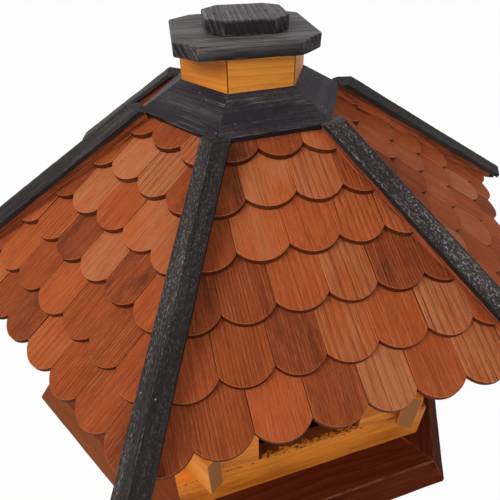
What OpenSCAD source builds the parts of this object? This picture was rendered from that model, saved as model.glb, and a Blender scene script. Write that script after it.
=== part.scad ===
// Six-sided wooden bird feeder: a log-built feeding house on a ledged base,
// under a pyramid roof of round-ended shingles with hip battens, collar, cupola and cap.
// The front side faces -Y, +Z is up, and the origin is the bottom centre of the base.

/* [Base] */
// Length of one side of the base at its underside
base_side = 353; // [330:1:400]
// Thickness of the base
base_t = 28; // [18:1:40]
// Width, in plan, of the bevel along the edge of the base
base_bevel = 18; // [6:1:24]
// Width of the mitred border boards at their underside
border_w = 92; // [88:1:110]
// Width of the ledge from the bevel to the face of the walls
ledge_w = 42; // [30:1:48]

/* [Walls] */
// Thickness of the wall boards
board_t = 20; // [15:1:26]
// Height of the lower rails
rail_h = 65; // [40:1:90]
// Height of one wall block beside a feed opening
block_h = 65; // [40:1:90]
// Height of the upper rails at their outer face
upper_rail_h = 81; // [50:1:120]
// Width of the feed openings
opening_w = 132; // [80:1:160]
// Length of the long rails past the corner of the walls
rail_overhang = 24; // [10:1:40]
// Length of the crossing blocks past the corner of the walls
block_overhang = 24; // [10:1:40]

/* [Roof] */
// Slope of the roof sides, in degrees
roof_pitch = 35.2; // [28:0.1:42]
// Thickness of the roof boarding
deck_t = 12; // [8:1:18]
// Distance, in plan, from the face of the walls to the shingle tips
eave_overhang = 78; // [60:1:110]
// Length of shingle past the lower edge of the boarding, along the slope
deck_setback = 22; // [18:1:35]
// Width of one shingle
shingle_w = 49.5; // [40:0.5:60]
// Thickness of one shingle
shingle_t = 6; // [3:0.5:9]
// Length of shingle left showing in each course
exposure = 49; // [42:1:54]
// Depth of the round end of a shingle
scallop_depth = 15; // [8:1:20]

/* [Hip battens] */
// Width of a hip batten
batten_w = 29; // [22:1:40]
// Thickness of a hip batten, from its underside to its top
batten_t = 14; // [10:1:24]
// Height of the upright sides of a hip batten
batten_side_h = 5; // [2:1:8]
// Width of the flat along the top of a hip batten
batten_top_w = 3; // [1:1:8]
// Height of the underside above the ridge of the shingles
batten_lift = 5; // [1:1:8]
// Width of the seat under a hip batten, which is cut to a vee
batten_seat_w = 16; // [10:1:20]
// Length of the battens, in plan, past the corner of the eaves
batten_tail = 30; // [10:1:60]

/* [Collar and cupola] */
// Side of the hexagon at the foot of the collar
collar_side = 120; // [108:1:128]
// Thickness of the collar boards
collar_t = 9; // [5:1:12]
// Slope of the collar boards, in degrees
collar_pitch = 32.5; // [30:0.1:36]
// Length of one side of the cupola
cupola_side = 71; // [55:1:85]
// Thickness of the cupola boards
cupola_board_t = 15; // [8:1:20]
// Height of the cupola boards above the collar
cupola_h = 33; // [25:1:60]

/* [Cap] */
// Width of the cap board
cap_w = 147; // [130:1:170]
// Depth of the cap board
cap_d = 143; // [130:1:170]
// Thickness of the cap board
cap_t = 14; // [10:1:22]
// Length cut off each edge at the corners of the cap board
cap_clip = 23; // [8:1:35]
// Turn of the cap board about the upright axis, in degrees
cap_turn = -7.5; // [-15:0.5:15]
// Offset of the cap board to the right of the axis
cap_shift = -3; // [-6:1:6]
// Width of the block on the cap board
cap_block_w = 85; // [60:1:100]
// Depth of the block on the cap board
cap_block_d = 79; // [60:1:100]
// Thickness of the block on the cap board
cap_block_t = 14; // [10:1:22]
// Length cut off each edge at the corners of the block
cap_block_clip = 16; // [6:1:25]
// Turn of the block about the upright axis, in degrees
cap_block_turn = -8.5; // [-25:0.5:25]
// Offset of the block behind the axis
cap_block_shift = -4; // [-10:1:10]

/* [Hidden] */
$fn = 64;
SIDES = ["front", "front_right", "back_right", "back", "back_left", "front_left"];
// Each hip follows the side in the same place of the list, and is named for where it points
HIPS = ["front_right", "right", "back_right", "back_left", "left", "front_left"];
side_count = len(SIDES);
last_side = side_count - 1;
side_angle = 360 / side_count;
half_angle = side_angle / 2;

base_a = base_side * cos(half_angle);
wall_a = base_a - base_bevel - ledge_w;
inner_a = wall_a - board_t;
floor_a = base_a - border_w;
wall_half = wall_a * tan(half_angle);

rail_z = base_t;
lower_block_z = rail_z + rail_h;
upper_block_z = lower_block_z + block_h;
upper_rail_z = upper_block_z + block_h;
wall_top_z = upper_rail_z + upper_rail_h;

// The roof boarding: its two faces, extended, meet the upright axis at these heights
deck_under_z = wall_top_z + wall_a * tan(roof_pitch);
deck_top_z = deck_under_z + deck_t / cos(roof_pitch);
shingle_top_z = deck_top_z + 2 * shingle_t / cos(roof_pitch);

// A course is tilted so that its tip lies on the course below it,
// and its tail runs up under the course above
lap_tilt = atan(shingle_t / exposure);
tail_share = 2 / 5;
tail = exposure * tail_share;
scallop_r = (pow(shingle_w / 2, 2) + pow(scallop_depth, 2)) / (2 * scallop_depth);
eave_a = wall_a + eave_overhang;
eave_u = (eave_a - 2 * shingle_t * sin(roof_pitch)) / cos(roof_pitch);
deck_end_u = eave_u - deck_setback;
eave_r = eave_a / cos(half_angle);
hip_pitch = atan(tan(roof_pitch) * cos(half_angle));
// Fall of a roof side across the hip, seen along the hip
hip_fall = asin(sin(roof_pitch) * sin(half_angle));

// As many courses as it takes to run up under the foot of the collar
collar_a = collar_side * cos(half_angle);
courses = ceil((eave_u - (collar_a - collar_t) / cos(roof_pitch)) / exposure);
course_pitch = roof_pitch - lap_tilt;
course_top_u = eave_u - courses * exposure;
course_top_a = course_top_u * cos(roof_pitch);
course_top_z = deck_top_z - course_top_u * sin(roof_pitch);

// The lower edge of the collar's foot lies on the top course
collar_seat_a = collar_a - collar_t * sin(collar_pitch);
collar_seat_z = course_top_z - (collar_seat_a - course_top_a) * tan(course_pitch)
    + shingle_t / cos(course_pitch);
collar_foot_z = collar_seat_z + collar_t * cos(collar_pitch);
cupola_a = cupola_side * cos(half_angle);
collar_top_z = collar_foot_z + (collar_a - cupola_a) * tan(collar_pitch);
cupola_foot_z = deck_under_z - cupola_a * tan(roof_pitch);
cap_z = collar_top_z + cupola_h;
cap_block_z = cap_z + cap_t;

// A length past every piece, for blanks that are trimmed to their seats
blank = 2 * eave_r;

pine = "#c9833a";
mahogany = "#5a2618";
shingle_stain = "#a65a30";
black_stain = "#2f2d30";

// Sides with long rails are even, sides with butted rails are odd
function is_long(i) = i % 2 == 0;

// Places its children on one side of the hexagon, given them on the front side
module on_side(i) {
    rotate([0, 0, side_angle * i]) children();
}

// Every second side, starting with the given one
module on_every_second_side(first) {
    for (i = [first : 2 : last_side]) on_side(i) children();
}

// A board along the front side with mitred ends, between two distances from the axis
module mitred_board(outer_a, thickness, height) {
    back_a = outer_a - thickness;
    outer_half = outer_a * tan(half_angle);
    back_half = back_a * tan(half_angle);
    linear_extrude(height)
        polygon([
            [-outer_half, -outer_a], [outer_half, -outer_a],
            [back_half, -back_a], [-back_half, -back_a]
        ]);
}

// The upright wedge of space that belongs to the front side
module side_wedge() {
    linear_extrude(blank)
        polygon([[0, 0], [-blank * tan(half_angle), -blank], [blank * tan(half_angle), -blank]]);
}

// Slope frame of the front roof side: -Y runs down the slope from the axis, +Z is its normal
module on_slope() {
    translate([0, 0, deck_top_z]) rotate([roof_pitch, 0, 0]) children();
}

// A profile of distance from the axis and height, drawn out along the front eaves
module along_eaves() {
    rotate([90, 0, -90]) linear_extrude(blank, center = true) children();
}

// The room that the cupola takes up beside the front roof side
module cupola_room() {
    translate([-blank / 2, -cupola_a, 0]) cube([blank, 2 * cupola_a, blank]);
}

module floor_plate() {
    color(mahogany) linear_extrude(base_t) circle(floor_a / cos(half_angle), $fn = side_count);
}

// Mitred boards round the floor, bevelled along their outer edge
module border_boards(first) {
    color(mahogany) on_every_second_side(first) intersection() {
        along_eaves() polygon([[floor_a, 0], [base_a, 0], [base_a - base_bevel, base_t], [floor_a, base_t]]);
        side_wedge();
    }
}

// Ends of a wall piece on the front side, at its outer and its inner face
function outer_end(crossing, overhang) =
    crossing ? wall_half + overhang : (inner_a - wall_a * cos(side_angle)) / sin(side_angle);
function inner_end(crossing, overhang) =
    crossing ? wall_half + overhang : inner_a * tan(half_angle);

module rail_plan(crossing, overhang) {
    outer = outer_end(crossing, overhang);
    inner = inner_end(crossing, overhang);
    polygon([[-outer, -wall_a], [outer, -wall_a], [inner, -inner_a], [-inner, -inner_a]]);
}

// From the edge of the feed opening to the corner of the walls
module block_plan(crossing, overhang) {
    outer = outer_end(crossing, overhang);
    inner = inner_end(crossing, overhang);
    start = opening_w / 2;
    polygon([[start, -wall_a], [outer, -wall_a], [inner, -inner_a], [start, -inner_a]]);
}

module lower_rail(i) {
    color(pine) on_side(i) translate([0, 0, rail_z])
        linear_extrude(rail_h) rail_plan(is_long(i), rail_overhang);
}

// Two blocks on each side, mirrored about the middle of the side
module wall_blocks(first, z, crossing) {
    color(pine) on_every_second_side(first) translate([0, 0, z])
        for (turn = [0, 1]) mirror([turn, 0, 0])
            linear_extrude(block_h) block_plan(crossing, block_overhang);
}

// The top edge is bevelled to the slope, so that the roof boarding lies on it
module upper_rail(i) {
    inner_top_z = wall_top_z + board_t * tan(roof_pitch);
    color(pine) on_side(i) intersection() {
        along_eaves()
            polygon([
                [inner_a, upper_rail_z], [wall_a, upper_rail_z],
                [wall_a, wall_top_z], [inner_a, inner_top_z]
            ]);
        side_wedge();
    }
}

module roof_deck(i) {
    color(pine) on_side(i) difference() {
        intersection() {
            on_slope() along_eaves() translate([0, -deck_t]) square([deck_end_u, deck_t]);
            side_wedge();
        }
        cupola_room();
    }
}

// Distance down the slope from the axis to the tips of a course
function tip_u(course) = eave_u - (courses - course) * exposure;

// Outline of one course on the slope: a straight strip that ends in a row of round tips
module course_outline(course) {
    half_step = course % 2 == 0 ? 1 / 2 : 0;
    reach = ceil(eave_r / shingle_w / 2) + 1;
    centre_u = tip_u(course) - scallop_r;
    translate([-blank / 2, -centre_u]) square([blank, blank]);
    for (j = [-reach : reach])
        translate([(j + half_step) * shingle_w, -centre_u]) circle(scallop_r);
}

// Side view of one course, from below the boarding up to the tilted face of the shingles
module course_profile(course) {
    start_u = tip_u(course) - exposure - (course == 1 ? 0 : tail);
    end_u = tip_u(course) + tail;
    thick = shingle_t / cos(lap_tilt);
    face_start = thick + (start_u - tip_u(course) + exposure) * tan(lap_tilt);
    face_end = thick + (end_u - tip_u(course) + exposure) * tan(lap_tilt);
    polygon([[start_u, -deck_t], [end_u, -deck_t], [end_u, face_end], [start_u, face_start]]);
}

// The room under the lowest course, past the end of the boarding
module eave_room() {
    rise = tan(lap_tilt);
    start_u = deck_end_u;
    end_u = eave_u + tail;
    top_u = eave_u - exposure;
    polygon([
        [start_u, -2 * deck_t], [end_u, -2 * deck_t],
        [end_u, (end_u - top_u) * rise], [start_u, (start_u - top_u) * rise]
    ]);
}

// The shingles of one side, packed down to the boarding
module shingles(i) {
    color(shingle_stain) on_side(i) intersection() {
        on_slope() difference() {
            for (course = [1 : courses]) intersection() {
                linear_extrude(2 * blank, center = true) course_outline(course);
                along_eaves() course_profile(course);
            }
            along_eaves() eave_room();
        }
        on_slope() translate([-blank / 2, -blank, 0]) cube(blank);
        side_wedge();
    }
}

// Section of a hip batten: a roof-shaped top over upright sides, and a seat cut to a vee,
// which sits on the two roof sides and keeps the edges clear of them
module batten_section() {
    half_w = batten_w / 2;
    top_half = batten_top_w / 2;
    seat_half = batten_seat_w / 2;
    seat_drop = seat_half * tan(hip_fall);
    shoulder = batten_lift + batten_side_h;
    top = batten_lift + batten_t;
    polygon([
        [0, 0], [seat_half, -seat_drop], [seat_half, batten_lift], [half_w, batten_lift], [half_w, shoulder],
        [top_half, top], [-top_half, top],
        [-half_w, shoulder], [-half_w, batten_lift], [-seat_half, batten_lift], [-seat_half, -seat_drop]
    ]);
}

// The upper end is notched round the corner of the collar
module hip_batten(i) {
    length = (eave_r + batten_tail) / cos(hip_pitch);
    color(black_stain) rotate([0, 0, side_angle * i + half_angle]) difference() {
        translate([0, 0, shingle_top_z]) rotate([hip_pitch, 0, 0]) rotate([90, 0, 0])
            linear_extrude(length) batten_section();
        linear_extrude(blank) rotate(half_angle) circle(collar_side, $fn = side_count);
    }
}

module collar_boards(first) {
    color(black_stain) on_every_second_side(first) intersection() {
        along_eaves()
            polygon([
                [collar_seat_a, collar_seat_z], [collar_a, collar_foot_z],
                [cupola_a, collar_top_z], [cupola_a, collar_top_z - collar_t / cos(collar_pitch)]
            ]);
        side_wedge();
    }
}

module cupola_boards(first) {
    color(pine) on_every_second_side(first) translate([0, 0, cupola_foot_z])
        mitred_board(cupola_a, cupola_board_t, cap_z - cupola_foot_z);
}

// A rectangular board with its four corners cut off
module clipped_board(width, depth, clip, thickness) {
    x = width / 2;
    y = depth / 2;
    linear_extrude(thickness)
        polygon([
            [clip - x, -y], [x - clip, -y], [x, clip - y], [x, y - clip],
            [x - clip, y], [clip - x, y], [-x, y - clip], [-x, clip - y]
        ]);
}

module cap_board() {
    color(black_stain) translate([cap_shift, 0, cap_z]) rotate(cap_turn)
        clipped_board(cap_w, cap_d, cap_clip, cap_t);
}

module cap_block() {
    color(black_stain) translate([0, cap_block_shift, cap_block_z]) rotate(cap_block_turn)
        clipped_board(cap_block_w, cap_block_d, cap_block_clip, cap_block_t);
}

floor_plate();
border_boards(0);  // border_boards_a
border_boards(1);  // border_boards_b
wall_blocks(1, lower_block_z, true);  // crossing_blocks_lower
wall_blocks(0, lower_block_z, false);  // butted_blocks_lower
wall_blocks(0, upper_block_z, true);  // crossing_blocks_upper
wall_blocks(1, upper_block_z, false);  // butted_blocks_upper
for (i = [0 : last_side]) {
    lower_rail(i);
    upper_rail(i);
    roof_deck(i);
    shingles(i);
    hip_batten(i);
}
collar_boards(0);  // collar_boards_a
collar_boards(1);  // collar_boards_b
cupola_boards(0);  // cupola_boards_a
cupola_boards(1);  // cupola_boards_b
cap_board();
cap_block();
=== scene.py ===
# %% [markdown]
# A six-sided bird feeder, dressed for its picture
#
# The feeder is a small wooden house: a bevelled base, walls of crossed boards, and a pyramid roof of
# round-ended shingles with black battens on its hips, a collar, a cupola and a cap. The packed model
# brings every board at its real size. Here each board gets eased edges, grain and a finish, and the
# roof gets its shingles one by one. We start with the model itself and keep its box.

# %% Load the frame
import math
import random

import bmesh
import bpy
from mathutils import Matrix, Vector, noise
from mathutils.bvhtree import BVHTree


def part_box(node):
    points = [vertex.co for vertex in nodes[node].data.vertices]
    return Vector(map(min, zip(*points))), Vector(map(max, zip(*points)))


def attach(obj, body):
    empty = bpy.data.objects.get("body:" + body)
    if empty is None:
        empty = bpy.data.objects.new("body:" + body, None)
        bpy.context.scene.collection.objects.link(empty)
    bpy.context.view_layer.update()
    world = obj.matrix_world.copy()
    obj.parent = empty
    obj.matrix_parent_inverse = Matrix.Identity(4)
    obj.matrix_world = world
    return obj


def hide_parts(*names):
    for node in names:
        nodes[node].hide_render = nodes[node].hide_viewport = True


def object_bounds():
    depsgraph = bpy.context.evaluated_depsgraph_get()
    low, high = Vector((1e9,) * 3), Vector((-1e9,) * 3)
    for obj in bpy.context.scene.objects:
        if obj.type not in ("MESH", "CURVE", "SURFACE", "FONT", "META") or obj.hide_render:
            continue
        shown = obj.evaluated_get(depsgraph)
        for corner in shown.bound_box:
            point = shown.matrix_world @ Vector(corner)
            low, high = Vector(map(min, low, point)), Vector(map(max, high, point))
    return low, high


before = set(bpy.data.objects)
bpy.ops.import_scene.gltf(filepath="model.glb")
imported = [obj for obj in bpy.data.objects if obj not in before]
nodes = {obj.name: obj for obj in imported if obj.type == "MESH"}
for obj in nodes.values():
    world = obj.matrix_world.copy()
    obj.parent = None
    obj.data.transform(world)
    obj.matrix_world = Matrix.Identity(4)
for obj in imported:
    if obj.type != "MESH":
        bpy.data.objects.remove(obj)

MM = 0.001
CAD_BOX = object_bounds()
SIDES = ["front", "front_right", "back_right", "back", "back_left", "front_left"]
HIPS = ["front_right", "right", "back_right", "back_left", "left", "front_left"]
SIDE_ANGLE = math.tau / len(SIDES)
UP = Vector((0, 0, 1))


def placed(name, data):
    """A new object, put into the scene."""
    thing = bpy.data.objects.new(name, data)
    bpy.context.scene.collection.objects.link(thing)
    return thing


print("nodes:", len(nodes), "box:", [tuple(round(v, 3) for v in corner) for corner in CAD_BOX])

# %% [markdown]
# The camera
#
# The picture was taken by hand, from close above the eaves, so the lines converge strongly and the
# horizon leans a little. We could turn a camera with angles, but three axes say it more plainly:
# where it looks, which way is right, and which way is up. The lean turns the last two.

# %% Place the camera
CAMERA_PLACE = Vector((-143.3, -489.9, 624.4)) * MM
CAMERA_TARGET = Vector((1.2, -1.0, 212.2)) * MM
CAMERA_LEAN = math.radians(-1.394)
FOCAL_LENGTH = 32.06
SENSOR_WIDTH = 36.0

ahead = (CAMERA_TARGET - CAMERA_PLACE).normalized()
level_right = ahead.cross(UP).normalized()
level_up = level_right.cross(ahead)
camera_right = level_right * math.cos(CAMERA_LEAN) + level_up * math.sin(CAMERA_LEAN)
camera_up = level_up * math.cos(CAMERA_LEAN) - level_right * math.sin(CAMERA_LEAN)
camera_data = bpy.data.cameras.new("camera")
camera_data.lens = FOCAL_LENGTH
camera_data.sensor_width = SENSOR_WIDTH
camera = placed("camera", camera_data)
camera_axes = Matrix((camera_right, camera_up, -ahead)).transposed().to_4x4()
camera.matrix_world = Matrix.Translation(CAMERA_PLACE) @ camera_axes
bpy.context.scene.camera = camera
print("camera at", tuple(round(v, 3) for v in CAMERA_PLACE), "lens", FOCAL_LENGTH)

# %% [markdown]
# Sockets that can be added and multiplied
#
# A finish is a sum of small patterns, and a page of node links is hard to read. So one class wraps a
# socket: arithmetic on it adds Math nodes, and its node method adds any other node, settings first.
# The same class serves the shader trees and the geometry trees.

# %% Wrap a socket
class Wire:
    """One output socket of a node tree, which takes part in Python arithmetic."""

    def __init__(self, socket):
        self.socket = socket

    @staticmethod
    def node(tree, kind, settings=None, inputs=None, output=0):
        """Adds a node, sets it up, fills or links its inputs, and wraps one of its outputs."""
        made = tree.nodes.new(kind)
        for name, value in (settings or {}).items():
            if name == "stops":
                Wire.set_stops(made.color_ramp, value)
            else:
                setattr(made, name, value)
        for name, value in (inputs or {}).items():
            if isinstance(value, Wire):
                tree.links.new(value.socket, made.inputs[name])
            else:
                made.inputs[name].default_value = value
        return Wire(made.outputs[output]) if made.outputs else None

    @staticmethod
    def set_stops(ramp, stops):
        """Gives a colour ramp its stops, each a position and a colour."""
        while len(ramp.elements) < len(stops):
            ramp.elements.new(0.5)
        for element, (position, colour) in zip(ramp.elements, stops):
            element.position = position
            element.color = colour

    def math(self, operation, *values):
        """Adds a Math node on these values."""
        return Wire.node(self.socket.id_data, "ShaderNodeMath", {"operation": operation},
                         dict(enumerate(values)))

    def __add__(self, other):
        return self.math("ADD", self, other)

    def __sub__(self, other):
        return self.math("SUBTRACT", self, other)

    def __rsub__(self, other):
        return self.math("SUBTRACT", other, self)

    def __mul__(self, other):
        return self.math("MULTIPLY", self, other)

    def __truediv__(self, other):
        return self.math("DIVIDE", self, other)

    def __rtruediv__(self, other):
        return self.math("DIVIDE", other, self)

    def __pow__(self, other):
        return self.math("POWER", self, other)

    def __mod__(self, other):
        return self.math("FLOORED_MODULO", self, other)

    def __abs__(self):
        return self.math("ABSOLUTE", self)

    def __floor__(self):
        return self.math("FLOOR", self)

    def between(self, low, high):
        """Rises smoothly from 0 at the low value to 1 at the high one."""
        return Wire.node(self.socket.id_data, "ShaderNodeMapRange", {"interpolation_type": "SMOOTHSTEP"},
                         {0: self, 1: low, 2: high, 3: 0.0, 4: 1.0})

    __radd__ = __add__
    __rmul__ = __mul__


print("wire methods:", [name.strip("_") for name, part in vars(Wire).items() if callable(part)])

# %% [markdown]
# Floor and light
#
# The object stands on a plain pale floor before plain white. A camera ray sees the floor mostly as
# white, and the rest of its share keeps the soft shadow. The light is a wide lamp high on the left,
# as from a large window, a weaker one from the front, and an even sky, at a level where a colour
# shows about as it is written.

# %% Lay the floor
FLOOR_HALF = 6.0
FLOOR_GAP = 0.5 * MM
FLOOR_COLOUR = (0.80, 0.79, 0.77, 1)
FLOOR_WHITE_SHARE = 0.97
WHITE = (1, 1, 1, 1)


def seen_directly(tree):
    """1 on rays from the camera, and on mirrored or passed-on ones, otherwise 0."""
    camera_ray = Wire.node(tree, "ShaderNodeLightPath", output="Is Camera Ray")
    glossy_ray = Wire.node(tree, "ShaderNodeLightPath", output="Is Glossy Ray")
    passed_ray = Wire.node(tree, "ShaderNodeLightPath", output="Is Transmission Ray")
    return camera_ray.math("MAXIMUM", camera_ray.math("MAXIMUM", camera_ray, glossy_ray), passed_ray)


def floor_finish():
    """A matt pale floor that shows as white, with its shadows kept."""
    material = bpy.data.materials.new("studio_floor")
    material.use_nodes = True
    tree = material.node_tree
    tree.nodes.clear()
    matt = Wire.node(tree, "ShaderNodeBsdfDiffuse", None, {"Color": FLOOR_COLOUR})
    white = Wire.node(tree, "ShaderNodeEmission", None, {"Color": WHITE, "Strength": 1.0})
    mixed = Wire.node(tree, "ShaderNodeMixShader", None,
                      {0: seen_directly(tree) * FLOOR_WHITE_SHARE, 1: matt, 2: white})
    Wire.node(tree, "ShaderNodeOutputMaterial", None, {"Surface": mixed})
    return material


floor_mesh = bpy.data.meshes.new("studio_floor")
floor_z = CAD_BOX[0][2] - FLOOR_GAP
floor_corners = [(-1, -1), (1, -1), (1, 1), (-1, 1)]
floor_points = [(x * FLOOR_HALF, y * FLOOR_HALF, floor_z) for x, y in floor_corners]
floor_mesh.from_pydata(floor_points, [], [(0, 1, 2, 3)])
floor_mesh.materials.append(floor_finish())
floor = placed("studio_floor", floor_mesh)
print("floor at", round(floor_z, 4))

# %% Light the scene
SKY_COLOUR = (0.97, 0.98, 1.0, 1)
SKY_STRENGTH = 0.38
LAMPS = {
    "window_lamp": {"place": (-2.1, -0.8, 2.1), "size": 1.4, "power": 50.0, "colour": (1.0, 0.97, 0.93)},
    "front_lamp": {"place": (0.3, -2.4, 1.5), "size": 1.8, "power": 17.0, "colour": (1.0, 0.98, 0.96)},
}
LAMP_TARGET = Vector((0, 0, 0.33))

world = bpy.data.worlds.new("studio")
bpy.context.scene.world = world
world.use_nodes = True
sky_tree = world.node_tree
sky_tree.nodes.clear()
sky = Wire.node(sky_tree, "ShaderNodeBackground", None, {"Color": SKY_COLOUR, "Strength": SKY_STRENGTH})
backdrop = Wire.node(sky_tree, "ShaderNodeBackground", None, {"Color": WHITE, "Strength": 1.0})
behind = Wire.node(sky_tree, "ShaderNodeMixShader", None,
                   {0: seen_directly(sky_tree), 1: sky, 2: backdrop})
Wire.node(sky_tree, "ShaderNodeOutputWorld", None, {"Surface": behind})
for lamp_name, lamp in LAMPS.items():
    lamp_data = bpy.data.lights.new(lamp_name, "AREA")
    lamp_data.size = lamp["size"]
    lamp_data.energy = lamp["power"]
    lamp_data.color = lamp["colour"]
    lamp_object = placed(lamp_name, lamp_data)
    lamp_object.location = lamp["place"]
    lamp_object.rotation_euler = (LAMP_TARGET - Vector(lamp["place"])).to_track_quat("-Z", "Y").to_euler()
bpy.context.scene.view_settings.view_transform = "Standard"
print("lamps:", list(LAMPS))

# %% [markdown]
# What every wood finish shares
#
# A board's pattern has to run along that board, whichever way it lies. Object coordinates can't do
# that for boards set round a hexagon, so each vertex carries its place in its own board: along the
# grain, across it, and into the depth. From that place come two patterns: the fine fibres, and the
# lines of yearly growth, pale at first and dark at their end.

# %% Begin and end a finish
LINE_DRIFT = (5, 22, 22)
LINE_LEAN = 0.45


def start_finish(name):
    """A new material with an empty tree, and that tree."""
    material = bpy.data.materials.new(name)
    material.use_nodes = True
    material.node_tree.nodes.clear()
    return material, material.node_tree


def end_finish(tree, colour, roughness, height, depth, constants=None):
    """Joins colour, roughness and relief to the surface. The depth is the relief's, in metres."""
    normal = Wire.node(tree, "ShaderNodeBump", None, {"Strength": 1.0, "Distance": depth, "Height": height})
    surface = Wire.node(tree, "ShaderNodeBsdfPrincipled", None,
                        {"Base Color": colour, "Roughness": roughness, "Normal": normal, **(constants or {})})
    Wire.node(tree, "ShaderNodeOutputMaterial", None, {"Surface": surface})


def attribute(tree, name, output="Fac"):
    """A value that the mesh carries."""
    return Wire.node(tree, "ShaderNodeAttribute", {"attribute_name": name}, output=output)


def mix(tree, share, first, second):
    """A colour between two others."""
    return Wire.node(tree, "ShaderNodeMix", {"data_type": "RGBA"}, {0: share, 6: first, 7: second}, output=2)


def speckle(tree, place, per_metre, detail=2.0, roughness=0.5):
    """Noise with its own count per metre along, across and into the board."""
    scaled = Wire.node(tree, "ShaderNodeVectorMath", {"operation": "MULTIPLY"}, {0: place, 1: per_metre})
    return Wire.node(tree, "ShaderNodeTexNoise", None,
                     {"Vector": scaled, "Scale": 1.0, "Detail": detail, "Roughness": roughness})


def growth_lines(tree, place, spacing, wander, sharpness):
    """0 in the pale wood of a year, rising to 1 at its dark end. Spacing is in metres."""
    across = Wire.node(tree, "ShaderNodeSeparateXYZ", None, {0: place}, output="Y")
    into = Wire.node(tree, "ShaderNodeSeparateXYZ", None, {0: place}, output="Z")
    drift = speckle(tree, place, LINE_DRIFT, detail=1.0) - 0.5
    years = (across + into * LINE_LEAN) / spacing + drift * wander
    return (years % 1.0) ** sharpness


helpers = (start_finish, end_finish, attribute, mix, speckle, growth_lines)
print("helpers:", [helper.__name__ for helper in helpers])

# %% [markdown]
# Oiled shingles
#
# The shingles are thin sawn softwood under a red-brown oil. Every piece came from another part of the
# tree, so one is pale and orange and the next dark and brown, one is ribbed with lines and another
# almost plain. Each shingle therefore brings random numbers of its own, and one material reads them.
# Even lines would look like corduroy, so noise stretched along the grain at three widths breaks them
# up. The dark lines lie a little deeper than the wood between them, so they also show in the relief.
# The sawn edge is darkened with painted shade, and a faint pale line along the arris above it is
# partly sanded wood and partly painted highlight.

# %% Finish of the shingles
SHINGLE_TONES = [
    (0.00, (0.150, 0.033, 0.013, 1)),
    (0.12, (0.270, 0.053, 0.016, 1)),
    (0.42, (0.375, 0.077, 0.021, 1)),
    (0.76, (0.460, 0.102, 0.028, 1)),
    (1.00, (0.500, 0.165, 0.068, 1)),
]
SHINGLE_LINE_COLOUR = (0.085, 0.016, 0.006, 1)
SHINGLE_PALE_AND_HIGHLIGHT_COLOUR = (0.640, 0.215, 0.080, 1)
SHINGLE_EDGE_SHADE_COLOUR = (0.040, 0.009, 0.004, 1)
PLAIN_SHINGLE = 0.15
RIBBED_SHINGLE = 0.80
SHINGLE_YEAR = 3.0 * MM
SHINGLE_YEAR_SPREAD = 6.0 * MM
SHINGLE_RELIEF = 0.8 * MM


def shingle_finish():
    """Red-brown oil on sawn softwood, varied from shingle to shingle."""
    material, tree = start_finish("oiled_shingle")
    tone = attribute(tree, "tone")
    character = attribute(tree, "character")
    local = attribute(tree, "grain", output="Vector")
    shift = attribute(tree, "shift", output="Vector")
    place = Wire.node(tree, "ShaderNodeVectorMath", {"operation": "ADD"}, {0: local, 1: shift})
    cloud = speckle(tree, place, (24, 60, 46), detail=2.0)
    stain = Wire.node(tree, "ShaderNodeValToRGB", {"stops": SHINGLE_TONES},
                      {0: tone + (cloud - 0.5) * 0.5})
    ribbed = character.between(PLAIN_SHINGLE, RIBBED_SHINGLE)
    year = SHINGLE_YEAR + tone * tone * SHINGLE_YEAR_SPREAD
    lines = growth_lines(tree, place, year, wander=1.6, sharpness=4.0)
    streak = speckle(tree, place, (9, 430, 60), detail=3.0, roughness=0.65)
    thread = speckle(tree, place, (16, 900, 90), detail=2.0)
    fibre = speckle(tree, place, (90, 1500, 300), detail=3.0, roughness=0.65)
    pale = thread.between(0.54, 0.70) * 0.26 + fibre.between(0.50, 0.70) * 0.36
    streaked = mix(tree, pale, stain, SHINGLE_PALE_AND_HIGHLIGHT_COLOUR)
    broken = lines * thread.between(0.30, 0.62)
    dark = ribbed * (broken * 0.75 + streak.between(0.52, 0.68) * 0.30)
    dark = dark + thread.between(0.46, 0.34) * 0.30 + fibre.between(0.46, 0.30) * 0.30
    colour = mix(tree, dark.math("MINIMUM", dark, 0.85), streaked, SHINGLE_LINE_COLOUR)
    # The sawn edge is darkened as painted shade. The arris gets a pale line, partly sanded wood and partly
    # painted highlight.
    edge = attribute(tree, "edge") * 2.0 - 1.0
    sawn_shade = edge.math("MAXIMUM", edge, 0.0)
    arris = 1.0 - abs(edge)
    colour = mix(tree, arris * 0.22, colour, SHINGLE_PALE_AND_HIGHLIGHT_COLOUR)
    colour = mix(tree, sawn_shade * 0.85, colour, SHINGLE_EDGE_SHADE_COLOUR)
    relief = fibre * 0.9 + thread * 0.8 + streak * 0.8 - ribbed * broken * 0.6
    end_finish(tree, colour, 0.52 + fibre * 0.2, relief, SHINGLE_RELIEF, {"Specular IOR Level": 0.05})
    return material


shingle_material = shingle_finish()
print(shingle_material.name, len(shingle_material.node_tree.nodes), "nodes")

# %% [markdown]
# Honey-coloured pine
#
# Rails, wall blocks, cupola and roof boarding are planed pine under a clear orange glaze. It shows
# soft flame-like growth, a slight gloss, and brown end grain that has drunk the glaze. The saw tore
# the sills of the feed openings: their tops are dark behind a ragged honey rim, and dark chips run
# along the upper edge of the lower rails.

# %% Finish of the pine
PINE_COLOUR = (0.700, 0.225, 0.026, 1)
PINE_DEEP_COLOUR = (0.440, 0.108, 0.010, 1)
PINE_PALE_COLOUR = (0.880, 0.370, 0.052, 1)
PINE_END_COLOUR = (0.330, 0.145, 0.052, 1)
PINE_TORN_COLOUR = (0.125, 0.024, 0.007, 1)
PINE_YEAR = 8.5 * MM
PINE_END_YEAR = 3.0 * MM
PINE_RIM = (4.8 * MM, 6.0 * MM)
PINE_RIM_WANDER = 26.0 * MM
PINE_CHIP_FALL = (5.2 * MM, 3.2 * MM)
PINE_RELIEF = 0.5 * MM


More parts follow.
